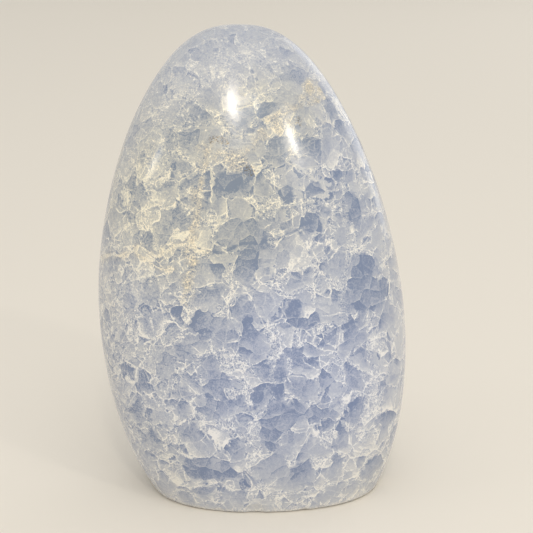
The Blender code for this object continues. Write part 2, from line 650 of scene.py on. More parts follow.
    def span(self, sheet: NodeSheet, place: Value, centre: Triple, radii: Triple) -> Value:
        """Work out how far each place is from a centre, in half-sizes of an egg shape about it.

        Args:
            sheet: the material's nodes.
            place: where to look, in millimetres.
            centre: the shape's middle.
            radii: its half-sizes.

        Returns:
            0 at the centre and 1 on the shape's surface.
        """
        shares = tuple(1 / radius for radius in radii)
        offset = tuple(-middle / radius for middle, radius in zip(centre, radii))
        reach = sheet.add(VECTOR, {0: place, 1: shares, 2: offset}, operation="MULTIPLY_ADD")
        return sheet.add(VECTOR, {0: reach}, operation="LENGTH").outputs["Value"]

    def region(self, sheet: NodeSheet, ground: Ground, region: Region) -> Value:
        """Work out how far inside a region each place lies.

        Args:
            sheet: the material's nodes.
            ground: the noises and grains that the patterns share.
            region: the region.

        Returns:
            1 at the middle, falling smoothly to 0 at the outside.
        """
        reach = self.span(sheet, ground.bent, region.centre, region.radii)
        ends = {"Value": reach, "From Min": 1.0, "From Max": 0.2}
        return sheet.add(RANGE, ends, interpolation_type=SMOOTH)

    def spot_cover(self, sheet: NodeSheet, place: Value, kind: SpotKind) -> Value:
        """Work out where the spots of one kind lie.

        Args:
            sheet: the material's nodes.
            place: where to look, in millimetres.
            kind: the kind of spot.

        Returns:
            1 inside the spots and 0 outside.
        """
        nearest: Value = FAR
        for spot in self.spots:
            if spot.kind is kind:
                reach = self.span(sheet, place, spot.centre, spot.radii)
                nearest = sheet.add(MATH, {0: nearest, 1: reach}, operation="MINIMUM")
        ends = {"Value": nearest, "From Min": 1.12, "From Max": 0.98}
        return sheet.add(RANGE, ends, interpolation_type=SMOOTH)

    def seam_distance(self, sheet: NodeSheet, front: Value, kind: SeamKind) -> Value:
        """Work out how far each place is from the seams of one kind.

        Args:
            sheet: the material's nodes.
            front: where to look, in millimetres, flattened along Y.
            kind: the kind of seam.

        Returns:
            The distance from the nearest seam's middle, in half-widths of that seam.
        """
        add = sheet.add
        nearest: Value = FAR
        for seam in self.seams:
            if seam.kind is not kind:
                continue
            for (x0, z0), (x1, z1) in zip(seam.course, seam.course[1:]):
                run = Vector((x1 - x0, 0, z1 - z0))
                offset = add(VECTOR, {0: front, 1: (x0, 0.0, z0)}, operation="SUBTRACT")
                share = add(VECTOR, {0: offset, 1: run / run.length_squared}, operation="DOT_PRODUCT")
                share = add(MATH, {0: share.outputs["Value"], 1: 0.0}, operation="ADD", use_clamp=True)
                away = add(VECTOR, {0: share, 1: -run, 2: offset}, operation="MULTIPLY_ADD")
                away = add(VECTOR, {0: away}, operation="LENGTH").outputs["Value"]
                away = add(MATH, {0: away, 1: seam.half_width}, operation="DIVIDE")
                nearest = add(MATH, {0: nearest, 1: away}, operation="MINIMUM")
        return nearest

    def towards_grain(self, sheet: NodeSheet, ground: Ground, share: float) -> Value:
        """Move each place part of the way to its medium grain's middle, so outlines follow the grains.

        Args:
            sheet: the material's nodes.
            ground: the noises and grains that the patterns share.
            share: how far to move, from 0 to 1.

        Returns:
            The moved place.
        """
        ends = {0: share, VECTOR_A: ground.frayed, VECTOR_B: ground.medium.middle}
        return sheet.add(MIX, ends, data_type="VECTOR").outputs[VECTOR_RESULT]

    def clear_grains(self, sheet: NodeSheet, ground: Ground) -> tuple[Value, Value, Value]:
        """Find the clear grains that chance gives.

        Args:
            sheet: the material's nodes.
            ground: the noises and grains that the patterns share.

        Returns:
            1 in all of them, 1 in those of the largest size, and how light they are.
        """
        add = sheet.add
        coarse, medium = ground.coarse, ground.medium

        # How far the milk reaches in from the edge of each coarse grain, in millimetres.
        reach = {"Value": ground.cloud, "From Min": 0.3, "From Max": 0.7, "To Min": -1.8, "To Max": 0.2}
        reach = add(RANGE, reach, clamp=False)
        for pattern, reach_mm in (
            (ground.milk, 1.2),
            (medium.chance.outputs[2], 1.3),
            (ground.haze, 0.9),
            (ground.flank, 0.3),
            (ground.sugar_chance.outputs[1], 0.8),
        ):
            reach = add(MATH, {0: pattern, 1: reach_mm, 2: reach}, operation="MULTIPLY_ADD")
        inside = add(MATH, {0: coarse.edge, 1: reach}, operation="SUBTRACT")
        in_coarse = {"Value": inside, "From Min": -0.15, "From Max": 0.15}
        in_coarse = add(RANGE, in_coarse, interpolation_type=SMOOTH)
        in_medium = add(RANGE, {"Value": medium.chance.outputs[0], "From Min": 0.46, "From Max": 0.50})
        core = add(RANGE, {"Value": medium.edge, "From Min": 0.1, "From Max": 0.3})
        in_medium = add(MATH, {0: in_medium, 1: core}, operation="MULTIPLY")
        clear = add(MATH, {0: in_coarse, 1: in_medium}, operation="MAXIMUM")

        # A coarse grain is a little lighter just inside the milk.
        rim = add(RANGE, {"Value": inside, "From Max": 1.2, "To Min": 0.14, "To Max": 0.0})
        coarse_tone = add(MATH, {0: coarse.tone, 1: rim}, operation="ADD")
        tone = add(MIX, {0: in_coarse, NUMBER_A: medium.tone, NUMBER_B: coarse_tone})
        tone = add(MATH, {0: medium.glow, 1: 0.2, 2: tone}, operation="MULTIPLY_ADD")
        return clear, in_coarse, tone

    def windows(self, sheet: NodeSheet, ground: Ground) -> Windows:
        """Lay the listed grains over those that chance gives.

        Args:
            sheet: the material's nodes.
            ground: the noises and grains that the patterns share.

        Returns:
            The clear grains.
        """
        add = sheet.add
        chance = ground.medium.chance
        clear, in_coarse, tone = self.clear_grains(sheet, ground)
        place = self.towards_grain(sheet, ground, 0.6)
        deep = self.spot_cover(sheet, place, SpotKind.DEEP)
        grey = self.spot_cover(sheet, place, SpotKind.GREY)
        pale = self.spot_cover(sheet, place, SpotKind.PALE)
        milky = self.spot_cover(sheet, place, SpotKind.MILKY)
        cream = self.spot_cover(sheet, place, SpotKind.CREAM)

        # The back has its own deep grains, chosen by chance.
        behind = add(RANGE, {"Value": ground.back, "From Min": -12.0, "From Max": -4.0})
        chosen = add(RANGE, {"Value": chance.outputs[0], "From Min": 0.88, "From Max": 0.90})
        chosen = add(MATH, {0: chosen, 1: behind}, operation="MULTIPLY")
        deep = add(MATH, {0: deep, 1: chosen}, operation="MAXIMUM")
        whole = add(MATH, {0: deep, 1: grey}, operation="MAXIMUM")
        whole = add(MATH, {0: whole, 1: pale}, operation="MAXIMUM")
        deep_tone = add(RANGE, {"Value": chance.outputs[1], "To Min": 0.02, "To Max": 0.20})
        grey_tone = add(RANGE, {"Value": chance.outputs[1], "To Min": 0.20, "To Max": 0.32})
        whole_tone = add(MIX, {0: grey, NUMBER_A: 0.44, NUMBER_B: grey_tone})
        whole_tone = add(MIX, {0: deep, NUMBER_A: whole_tone, NUMBER_B: deep_tone})
        whole_tone = add(MATH, {0: ground.medium.glow, 1: 0.5, 2: whole_tone}, operation="MULTIPLY_ADD")
        tone = add(MIX, {0: whole, NUMBER_A: tone, NUMBER_B: whole_tone})
        clear = add(MATH, {0: clear, 1: whole}, operation="MAXIMUM")
        clouded = add(MATH, {0: milky, 1: cream}, operation="MAXIMUM")
        clear = add(MATH, {0: clear, 1: clouded}, operation="SUBTRACT", use_clamp=True)
        return Windows(clear, in_coarse, whole, clouded, cream, tone)

    def milk(self, sheet: NodeSheet, ground: Ground) -> Milk:
        """Work out the clouded grains' fine detail: bright and dull grains, streaks, creases and grit.

        Args:
            sheet: the material's nodes.
            ground: the noises and grains that the patterns share.

        Returns:
            The detail, and how crisp it is.
        """
        add = sheet.add

        # Cleavage shows as fine streaks, turned at random in each coarse grain.
        axis = add(VECTOR, {0: ground.coarse.middle}, operation="SINE")
        turned = {"Vector": ground.place, "Axis": axis, "Angle": 2.0}
        turned = add("ShaderNodeVectorRotate", turned, rotation_type="AXIS_ANGLE")
        drawn = add(VECTOR, {0: turned, 1: (1.0, 1.0, 0.15)}, operation="MULTIPLY")
        fibre = add(NOISE, {"Vector": drawn, "Scale": 1 / self.fibre_mm, "Detail": 2.0, "Roughness": 0.7})
        fibre = add(MATH, {0: fibre, 1: 3.0}, operation="POWER")
        fibre = add(MATH, {0: fibre, 1: 1.3, 2: -0.18}, operation="MULTIPLY_ADD")
        grit = add(MATH, {0: ground.grit, 1: 3.0}, operation="POWER")
        grit = add(MATH, {0: grit, 1: 2.0, 2: -0.28}, operation="MULTIPLY_ADD")
        # Painted glints where the grit is highest.
        glint = add(RANGE, {"Value": ground.grit, "From Min": 0.65, "From Max": 0.70, "To Max": 0.18})

        # A few of the smallest grains are bright, partly as painted glints, and a few dull; the rest differ
        # a little.
        chance = ground.sugar_chance
        sugar = add(MATH, {0: chance.outputs[0], 1: 0.22, 2: -0.13}, operation="MULTIPLY_ADD")
        bright = {"Value": chance.outputs[2], "From Min": 0.86, "From Max": 0.92, "To Max": 0.52}
        dull = {"Value": chance.outputs[2], "From Min": 0.12, "From Max": 0.06, "To Max": 0.18}
        speck_and_glint = add(MATH, {0: add(RANGE, bright), 1: add(RANGE, dull)}, operation="SUBTRACT")
        core = add(RANGE, {"Value": ground.sugar.outputs["Distance"], "From Min": 0.5, "From Max": 0.2})
        speck_and_glint = add(MATH, {0: speck_and_glint, 1: core}, operation="MULTIPLY")

        # Creases run where one noise crosses its middle value, and wrinkles are the waves of a finer one.
        crease = add(MATH, {0: ground.milk, 1: 0.5}, operation="SUBTRACT")
        crease = add(MATH, {0: crease}, operation="ABSOLUTE")
        crease = add(RANGE, {"Value": crease, "From Min": 0.03, "From Max": 0.0, "To Max": 0.24})
        wrinkle = add(SPLIT, {0: ground.fray.outputs["Color"]}).outputs[1]
        wrinkle = add(MATH, {0: wrinkle, 1: 36.0}, operation="MULTIPLY")
        wrinkle = add(MATH, {0: wrinkle}, operation="SINE")
        detail = add(MATH, {0: wrinkle, 1: 0.15, 2: crease}, operation="MULTIPLY_ADD")
        for part in (glint, sugar, fibre, speck_and_glint, grit):
            detail = add(MATH, {0: detail, 1: part}, operation="ADD")
        crisp = self.region(sheet, ground, self.crisper)
        crisp = {0: crisp, 1: self.crisper.change, 2: self.crispness}
        crisp = add(MATH, crisp, operation="MULTIPLY_ADD")
        crisp = add(MATH, {0: ground.haze, 1: -0.22, 2: crisp}, operation="MULTIPLY_ADD")
        detail = add(MATH, {0: detail, 1: crisp}, operation="MULTIPLY")
        return Milk(detail, crisp)

    def body_tone(self, sheet: NodeSheet, ground: Ground, windows: Windows, milk: Milk) -> Value:
        """Put clear grains and milk together, then lighten, darken and veil whole parts of the stone.

        Args:
            sheet: the material's nodes.
            ground: the noises and grains that the patterns share.
            windows: the clear grains.
            milk: the clouded grains' detail.

        Returns:
            How light each place is, from 0 to 1.
        """
        add = sheet.add
        medium = ground.medium
        milk_tone = add(RANGE, {"Value": medium.chance.outputs[2], "To Min": 0.34, "To Max": 0.50})
        milk_tone = add(MATH, {0: windows.clouded, 1: 0.10, 2: milk_tone}, operation="MULTIPLY_ADD")
        milk_tone = add(MATH, {0: medium.glow, 1: 0.5, 2: milk_tone}, operation="MULTIPLY_ADD")
        milk_tone = add(MATH, {0: milk_tone, 1: milk.detail}, operation="ADD")
        through = add(MATH, {0: ground.flank, 1: 0.30, 2: 0.25}, operation="MULTIPLY_ADD")
        clear_tone = add(MATH, {0: milk.detail, 1: through, 2: windows.tone}, operation="MULTIPLY_ADD")
        tone = add(MIX, {0: windows.clear, NUMBER_A: milk_tone, NUMBER_B: clear_tone})
        cloudy = add(MATH, {0: ground.cloud, 1: 0.5, 2: -0.25}, operation="MULTIPLY_ADD")
        tone = add(MATH, {0: tone, 1: cloudy}, operation="ADD")
        # Painted shade over the upper front: darker, and flatter in contrast.
        painted_shade = self.region(sheet, ground, self.painted_shade)
        tone = add(MATH, {0: painted_shade, 1: -self.painted_shade_darkens, 2: tone}, operation="MULTIPLY_ADD")
        painted_shade = add(MATH, {0: painted_shade, 1: self.painted_shade.change, 2: 1.0}, operation="MULTIPLY_ADD")
        tone = add(MATH, {0: tone, 1: painted_shade}, operation="MULTIPLY")
        # Lighter parts, one of them a painted pale reflection down the right edge.
        for region in self.lighter:
            lighter = self.region(sheet, ground, region)
            tone = add(MATH, {0: lighter, 1: region.change, 2: tone}, operation="MULTIPLY_ADD")
        # Lighter towards the foot: partly a paler scuffed haze, partly painted light bounced up from the
        # floor.
        foot = add(RANGE, {"Value": ground.up, "From Min": 24.0, "From Max": 4.0, "To Max": 0.10})
        tone = add(MATH, {0: tone, 1: foot}, operation="ADD")
        veil = add(MATH, {0: ground.haze, 1: self.veil}, operation="MULTIPLY")
        veiled = add(MATH, {0: milk.detail, 1: 0.9, 2: 0.54}, operation="MULTIPLY_ADD")
        return add(MIX, {0: veil, NUMBER_A: tone, NUMBER_B: veiled})

    def lines(self, sheet: NodeSheet, ground: Ground, windows: Windows, milk: Milk) -> Value:
        """Draw the pale lines along the grain boundaries, broken here and there and fainter in the haze.

        Args:
            sheet: the material's nodes.
            ground: the noises and grains that the patterns share.
            windows: the clear grains.
            milk: the clouded grains' detail.

        Returns:
            How much lighter the lines are than the stone beside them.
        """
        add = sheet.add
        gaps = {"Value": ground.patches, "From Min": 0.38, "From Max": 0.58, "To Min": 0.12}
        gaps = add(RANGE, gaps, interpolation_type=SMOOTH)
        not_coarse = add(RANGE, {"Value": windows.coarse, "To Min": 1.0, "To Max": 0.45})
        lines: Value = 0.0
        for grains, size, open_to in (
            (ground.coarse, self.coarse, 1.0),
            (ground.medium, self.medium, not_coarse),
        ):
            line = {"Value": grains.edge, "From Max": self.line_mm, "To Min": size.line, "To Max": 0.0}
            line = add(RANGE, line, interpolation_type=SMOOTH)

            # A line is painted brightest where its boundary faces the painted light.
            side = add(RANGE, {"Value": grains.facing, "From Min": -0.5, "From Max": 0.5, "To Min": 0.45})
            line = add(MATH, {0: line, 1: side}, operation="MULTIPLY")
            line = add(MATH, {0: line, 1: open_to}, operation="MULTIPLY")
            lines = add(MATH, {0: lines, 1: line}, operation="MAXIMUM")
        unbroken = add(RANGE, {"Value": windows.whole, "To Min": 1.0, "To Max": 0.12})
        not_hazy = add(MATH, {0: ground.haze, 1: -0.4, 2: 1.0}, operation="MULTIPLY_ADD")
        for share in (gaps, unbroken, not_hazy, milk.crisp):
            lines = add(MATH, {0: lines, 1: share}, operation="MULTIPLY")
        return lines

    def cracks(self, sheet: NodeSheet, ground: Ground) -> Cracks:
        """Work out where the cracks on the front run.

        Args:
            sheet: the material's nodes.
            ground: the noises and grains that the patterns share.

        Returns:
            How far each place lies in them.
        """
        add = sheet.add
        on_front = add(RANGE, {"Value": ground.back, "From Min": 4.0, "From Max": -4.0})
        flat = (1.0, 0.0, 1.0)
        smooth_place = add(VECTOR, {0: ground.frayed, 1: flat}, operation="MULTIPLY")
        stepped_place = self.towards_grain(sheet, ground, 0.25)
        stepped_place = add(VECTOR, {0: stepped_place, 1: flat}, operation="MULTIPLY")
        wander = add(MATH, {0: ground.milk, 1: 2.0, 2: -1.0}, operation="MULTIPLY_ADD")
        away: dict[SeamKind, Value] = {}
        cover: dict[SeamKind, Value] = {}
        for kind, edge in SEAM_EDGES.items():
            distance = self.seam_distance(sheet, stepped_place if edge.stepped else smooth_place, kind)
            away[kind] = add(MATH, {0: wander, 1: edge.stray, 2: distance}, operation="MULTIPLY_ADD")
            ends = {"Value": away[kind], "From Min": edge.outside, "From Max": edge.inside}
            cover[kind] = add(RANGE, ends, interpolation_type=SMOOTH)
        # A fissure is white calcite; a flake's bright edge is painted light caught inside the stone.
        bright = add(MATH, {0: cover[SeamKind.FISSURE], 1: cover[SeamKind.FLAKE]}, operation="MAXIMUM")
        bright = add(MATH, {0: bright, 1: on_front}, operation="MULTIPLY")
        healed = add(MATH, {0: cover[SeamKind.BAND], 1: cover[SeamKind.BEADED]}, operation="MAXIMUM")
        healed = add(MATH, {0: healed, 1: on_front}, operation="MULTIPLY")
        healed = add(MATH, {0: healed, 1: self.healed}, operation="MULTIPLY")
        hairline = add(MATH, {0: cover[SeamKind.HAIRLINE], 1: on_front}, operation="MULTIPLY")

        # The stain spreads a few half-widths beside the fissure, at half strength.
        beside = {"Value": away[SeamKind.FISSURE], "From Min": 4.0, "From Max": 0.5, "To Max": 0.5}
        beside = add(RANGE, beside, interpolation_type=SMOOTH)
        stained = add(MATH, {0: cover[SeamKind.BAND], 1: beside}, operation="MAXIMUM")
        stained = add(MATH, {0: stained, 1: on_front}, operation="MULTIPLY")
        return Cracks(bright, healed, hairline, stained)

    def marked_tone(
        self, sheet: NodeSheet, ground: Ground, milk: Milk, cracks: Cracks, rust: Value, tone: Value
    ) -> Value:
        """Lay the cracks, the worn edge with a painted highlight along it, the pits as painted shade, and
        the rust over the stone.

        Args:
            sheet: the material's nodes.
            ground: the noises and grains that the patterns share.
            milk: the clouded grains' detail.
            cracks: where the cracks run.
            rust: where the rust is.
            tone: how light the stone is without them.

        Returns:
            How light each place is with them, from 0 to 1.
        """
        add = sheet.add
        # The arris is paler: partly frosted by wear, partly a painted highlight along the bottom edge.
        worn_edge_and_highlight = add(RANGE, {"Value": ground.up, "From Min": 1.6, "From Max": 0.6})
        for cover, contrast, level in (
            (cracks.healed, 1.1, 0.50),
            (cracks.bright, 0.8, 0.80),
            (worn_edge_and_highlight, 0.7, 0.80),
        ):
            cover_tone = add(MATH, {0: milk.detail, 1: contrast, 2: level}, operation="MULTIPLY_ADD")
            tone = add(MIX, {0: cover, NUMBER_A: tone, NUMBER_B: cover_tone})
        # The pits' dark insides are painted shade.
        pits = self.spot_cover(sheet, ground.frayed, SpotKind.PIT)
        for mark, change in ((cracks.hairline, -0.22), (pits, -0.35), (rust, -0.30)):
            tone = add(MATH, {0: mark, 1: change, 2: tone}, operation="MULTIPLY_ADD")
        return add(MATH, {0: tone, 1: 1.10, 2: -0.04}, operation="MULTIPLY_ADD", use_clamp=True)

    def hue(self, sheet: NodeSheet, ground: Ground) -> Value:
        """Work out how warm each place is: warm at the upper left, cool at the lower right, and drifting.

        Args:
            sheet: the material's nodes.
            ground: the noises and grains that the patterns share.

        Returns:
            0 where the stone is coolest and 1 where it is warmest.
        """
        add = sheet.add
        drift = add(NOISE, {"Vector": ground.place, "Scale": 1 / self.drift_mm, "Detail": 2.0})
        drift = add(MATH, {0: drift, 1: 0.5, 2: -0.25}, operation="MULTIPLY_ADD")
        hue: Value = self.warmth
        for region in self.warmer:
            warmer = self.region(sheet, ground, region)
            hue = add(MATH, {0: warmer, 1: region.change, 2: hue}, operation="MULTIPLY_ADD")
        return add(MATH, {0: hue, 1: drift}, operation="ADD", use_clamp=True)

    def colour(self, sheet: NodeSheet, ground: Ground, tone: Value, stained: Value, rust: Value) -> Value:
        """Turn the tone into a colour and tint it.

        Args:
            sheet: the material's nodes.
            ground: the noises and grains that the patterns share.
            tone: how light each place is.
            stained: where the cream stain is.
            rust: where the rust is.

        Returns:
            The stone's colour.
        """
        add = sheet.add
        ramp = add("ShaderNodeValToRGB", {"Fac": tone})
        elements = ramp.color_ramp.elements
        while len(elements) < len(self.ramp):
            elements.new(0.5)
        for element, (position, colour) in zip(elements, self.ramp):
            element.position = position
            element.color = linear(colour)
        patches = ground.patches
        blotch = {"Value": patches, "From Min": 0.35, "From Max": 0.65, "To Min": 0.2, "To Max": 0.9}
        stain = add(MATH, {0: stained, 1: add(RANGE, blotch)}, operation="MULTIPLY")
        tint: Value = linear(self.cool_tint)
        for share, over in (
            (self.hue(sheet, ground), self.warm_tint),
            (stain, self.stain_tint),
            (rust, self.rust_tint),
        ):
            tints = {0: share, COLOUR_A: tint, COLOUR_B: linear(over)}
            tint = add(MIX, tints, data_type="RGBA").outputs[COLOUR_RESULT]
        colours = {0: 1.0, COLOUR_A: ramp.outputs["Color"], COLOUR_B: tint}
        return add(MIX, colours, data_type="RGBA", blend_type="MULTIPLY").outputs[COLOUR_RESULT]

    def material(self) -> bpy.types.Material:
        """Build the stone's material.

        Returns:
            The finished material.
        """
        material = bpy.data.materials.new(self.name)
        material.use_nodes = True
        material.node_tree.nodes.clear()
        sheet = NodeSheet(material.node_tree)
        add = sheet.add
        ground = self.ground(sheet)
        windows = self.windows(sheet, ground)
        milk = self.milk(sheet, ground)
        tone = self.body_tone(sheet, ground, windows, milk)
        lines = self.lines(sheet, ground, windows, milk)
        tone = add(MATH, {0: tone, 1: lines}, operation="ADD")
        cracks = self.cracks(sheet, ground)
        rusty = self.spot_cover(sheet, ground.frayed, SpotKind.RUSTY)
        rust = add(RANGE, {"Value": ground.grit, "From Min": 0.52, "From Max": 0.57})
        rust = add(MATH, {0: rust, 1: rusty}, operation="MULTIPLY")
        tone = self.marked_tone(sheet, ground, milk, cracks, rust, tone)
        stained = add(MATH, {0: cracks.stained, 1: windows.cream}, operation="MAXIMUM")
        colour = self.colour(sheet, ground, tone, stained, rust)

        # Milky grains take less polish than clear ones, and the grit stands up a little from both.
        least, most = self.clear_roughness, self.milky_roughness
        roughness = add(RANGE, {"Value": windows.clear, "To Min": most, "To Max": least})
        grit_height = self.grit_height_mm / MM_PER_M
        bump = {"Height": ground.grit, "Distance": grit_height, "Strength": self.grit_strength}
        shader = add(
            "ShaderNodeBsdfPrincipled",
            {
                "Base Color": colour,
                "Roughness": roughness,
                "Normal": add("ShaderNodeBump", bump),
                "IOR": self.ior,
                "Coat Weight": self.coat,
                "Coat Roughness": self.coat_roughness,
                "Coat IOR": self.coat_ior,
                "Subsurface Weight": self.scatter,
                "Subsurface Radius": self.scatter_shares,
                "Subsurface Scale": self.scatter_mm / MM_PER_M,
            },
        )
        add("ShaderNodeOutputMaterial", {"Surface": shader.outputs[0]})
        return material


@dataclass(frozen=True)
class Chip:
    """A shell-shaped flake lost from the broad front, placed as it is seen from there. Millimetres."""

    x: float
    z: float
    half_width: float
    half_height: float
    depth: float


# Flakes along the foot, where the sawn edge has been knocked.
CHIPS = (
    Chip(-3.0, 1.2, 3.2, 2.0, 0.5),
    Chip(10.5, 0.6, 1.6, 1.0, 0.3),
    Chip(15.0, 0.7, 1.2, 0.9, 0.25),
    Chip(-13.0, 0.7, 1.4, 0.9, 0.25),
)


@dataclass
class Stone:
    """The stone itself: an egg with a flat sawn base, on the same formula as the CAD solid. Metres.

    No modelling operator gives this curve, so a cube is divided and its points are placed by formula.
    """

    name: str = "polished_freeform"
    height: float = 0.130
    centre_height: float = 0.056
    half_width: float = 0.0424
    half_depth: float = 0.029
    profile_power: float = 2.5
    plan_power: float = 2.2
    width_taper: float = 0.13
    depth_taper: float = 0.24
    end_taper: float = 0.092
    side_lean: float = 0.0075
    side_lean_power: float = 1.5
    back_lean: float = 0.005
    turn: float = math.radians(5)
    cells: int = 120
    base_share: float = 0.16
    crowding: float = 0.5
    arris: float = 0.0013
    arris_step: float = 0.01
    swell_fade_mm: float = 3.0
    spot_depth: float = 1.5
    chips: tuple[Chip, ...] = CHIPS

    # Each swell's size and height, in millimetres.
    swells: tuple[tuple[float, float], ...] = ((24.0, 0.14), (10.0, 0.04))

    def ball(self) -> bpy.types.Object:
        """Add a cube of even small squares, the start of the stone.

        Returns:
            The cube.
        """
        bpy.ops.object.select_all(action="DESELECT")
        bpy.ops.mesh.primitive_cube_add(size=2)
        stone = bpy.context.object
        stone.name = self.name
        stone.data.name = self.name
        bpy.ops.object.mode_set(mode="EDIT")
        bpy.ops.mesh.select_all(action="SELECT")
        bpy.ops.mesh.subdivide(number_cuts=self.cells // 2 - 1)
        bpy.ops.mesh.subdivide(number_cuts=1)
        bpy.ops.object.mode_set(mode="OBJECT")
        return stone

    def half_extent(self, level: np.ndarray, half_size: float, taper: float) -> np.ndarray:
        """Half the egg's width or depth at levels from -1, its lower end, to 1, its top."""
        round_off = np.clip(1 - level**2, 0, None) ** (1 / self.profile_power)
        return half_size * round_off * (1 - taper * level - self.end_taper * level**2)

    def side_points(self, plan: np.ndarray, level: np.ndarray) -> np.ndarray:
        """Work out points on the leaning egg.

        Args:
            plan: each point's direction in plan, pushed out to the plan's curve.
            level: each point's level.

        Returns:
            The points, one row each.
        """
        x = self.half_extent(level, self.half_width, self.width_taper) * plan[:, 0]
        y = self.half_extent(level, self.half_depth, self.depth_taper) * plan[:, 1]
        z = self.centre_height + level * (self.height - self.centre_height)
        across, along = math.cos(self.turn), math.sin(self.turn)
        x, y = across * x - along * y, along * x + across * y
        share = z / self.height
        x = x - self.side_lean * (1 - np.clip(1 - share, 0, None) ** self.side_lean_power)
        y = y + self.back_lean * share
        return np.stack([x, y, z], axis=1)

    def crowded(self, share: np.ndarray) -> np.ndarray:
        """Draw shares from 0 to 1 up towards 1, so the rows of faces are closest at the arris."""
        return share + self.crowding * share**2 * (1 - share)

    def shape(self, stone: bpy.types.Object) -> None:
        """Push the cube's points out to the egg, flat below, with its arris rounded.

        Args:
            stone: the divided cube.
        """
        corners = np.empty(len(stone.data.vertices) * 3)
        stone.data.vertices.foreach_get("co", corners)
        unit = np.tan(corners.reshape(-1, 3) * math.pi / 4)
        unit /= np.linalg.norm(unit, axis=1)[:, None]
        polar = np.arccos(np.clip(unit[:, 2], -1, 1)) / math.pi
        across = np.maximum(np.hypot(unit[:, 0], unit[:, 1]), LEAST)
        flat = unit[:, :2] / across[:, None]
        plan = np.sign(flat) * np.abs(flat) ** (2 / self.plan_power)
        base_level = np.full(len(plan), -self.centre_height / (self.height - self.centre_height))
        side_share = self.crowded(np.clip(polar / (1 - self.base_share), 0, 1))
        level = np.cos(side_share * np.arccos(base_level))
        rim = self.side_points(plan, base_level)
        base_share = self.crowded(np.clip((1 - polar) / self.base_share, 0, 1))
        on_side = (polar < 1 - self.base_share)[:, None]
        points = np.where(on_side, self.side_points(plan, level), rim * base_share[:, None])

        # Both sides of the arris are drawn in where they come near it.
        up = self.side_points(plan, base_level + self.arris_step) - rim
        up /= np.maximum(np.linalg.norm(up, axis=1), LEAST)[:, None]
        inwards = -rim / np.maximum(np.linalg.norm(rim, axis=1), LEAST)[:, None]
        reach = np.clip(self.arris - np.linalg.norm(points - rim, axis=1), 0, None)
        points = points + (reach**2 / (4 * self.arris))[:, None] * (up + inwards)
        stone.data.vertices.foreach_set("co", points.ravel())
        stone.data.update()

    def weather(self, stone: bpy.types.Object) -> None:
        """Leave the surface slightly uneven, as hand grinding does, and take the flakes out of the foot.

        Args:
            stone: the shaped stone.
        """
        count = len(stone.data.vertices)
        corners, normals = np.empty(count * 3), np.empty(count * 3, np.float32)
        stone.data.vertices.foreach_get("co", corners)
        stone.data.vertices.foreach_get("normal", normals)
        points = corners.reshape(-1, 3) * MM_PER_M
        outward = normals.reshape(-1, 3).astype(float)
        swell = [
            sum(height * noise.noise(Vector(point) / size) for size, height in self.swells)
            for point in points
        ]
        above_base = np.clip(points[:, 2] / self.swell_fade_mm, 0, 1)
        moved = points + outward * (np.array(swell) * above_base)[:, None]

        # Only a point that faces the front can be a flake's middle.
        front = outward[:, 1] < -0.5
        for chip in self.chips:
            off = np.hypot(points[:, 0] - chip.x, points[:, 2] - chip.z)
            middle = np.argmin(np.where(front, off, np.inf))
            radii = np.array([chip.half_width, chip.half_width, chip.half_height])
            share = np.linalg.norm((points - points[middle]) / radii, axis=1)
            moved -= outward[middle] * (chip.depth * np.clip(1 - share**2, 0, None))[:, None]
        stone.data.vertices.foreach_set("co", (moved / MM_PER_M).ravel())
        stone.data.update()

    def fit(self, stone: bpy.types.Object) -> None:
        """Bring the mesh's box onto the CAD node's.

        Args:
            stone: the weathered stone.
        """
        corners = np.empty(len(stone.data.vertices) * 3)
        stone.data.vertices.foreach_get("co", corners)
        points = corners.reshape(-1, 3)
        low, high = (np.array(corner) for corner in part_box(CAD_NODE))
        own_low, own_high = points.min(0), points.max(0)
        points = low + (points - own_low) * (high - low) / (own_high - own_low)
        stone.data.vertices.foreach_set("co", points.ravel())
        stone.data.update()

    def build(self) -> bpy.types.Object:
        """Model the stone.

        Returns:
            The finished piece.
        """
        stone = self.ball()
        self.shape(stone)
        self.weather(stone)
        self.fit(stone)
        bpy.ops.object.mode_set(mode="EDIT")
        bpy.ops.mesh.select_all(action="SELECT")
        bpy.ops.mesh.normals_make_consistent(inside=False)
        bpy.ops.object.mode_set(mode="OBJECT")
        bpy.ops.object.shade_smooth()
        inward = stone.data.attributes.new(INWARD, "FLOAT_VECTOR", "POINT")
        normals = np.empty(len(stone.data.vertices) * 3, np.float32)
        stone.data.vertices.foreach_get("normal", normals)
        inward.data.foreach_set("vector", -normals)
        return stone

    def placed(self, stone: bpy.types.Object, spots: Iterable[Spot]) -> tuple[PlacedSpot, ...]:
        """Find where each spot lies on the stone.

        Args:
            stone: the finished piece.
            spots: the spots, as seen from the front.

        Returns:
            The spots, each with its middle on the surface.
        """
        found = []
        for spot in spots:
            eye = Vector((spot.x / MM_PER_M, -1, spot.z / MM_PER_M))
            hit, centre, _, _ = stone.ray_cast(eye, Vector((0, 1, 0)))
            if hit:
                depth = self.spot_depth * max(spot.half_width, spot.half_height)
                radii = Vector((spot.half_width, depth, spot.half_height))
                found.append(PlacedSpot(spot.kind, centre * MM_PER_M, radii))
        return tuple(found)

    def dress(self, stone: bpy.types.Object) -> None:
        """Give the stone its finish."""
        stone.data.materials.clear()
        stone.data.materials.append(PolishedCalcite(self.placed(stone, SPOTS)).material())


@dataclass(frozen=True)
class Lamp:
    """A soft oval lamp, placed by where it is seen from the stone. Degrees, metres and watts."""

    name: str
    azimuth: float
    elevation: float
    distance: float
    width: float
    height: float
    power: float
    roll: float = 0.0
    mirrored: bool = True
    colour: str = "#ffffff"


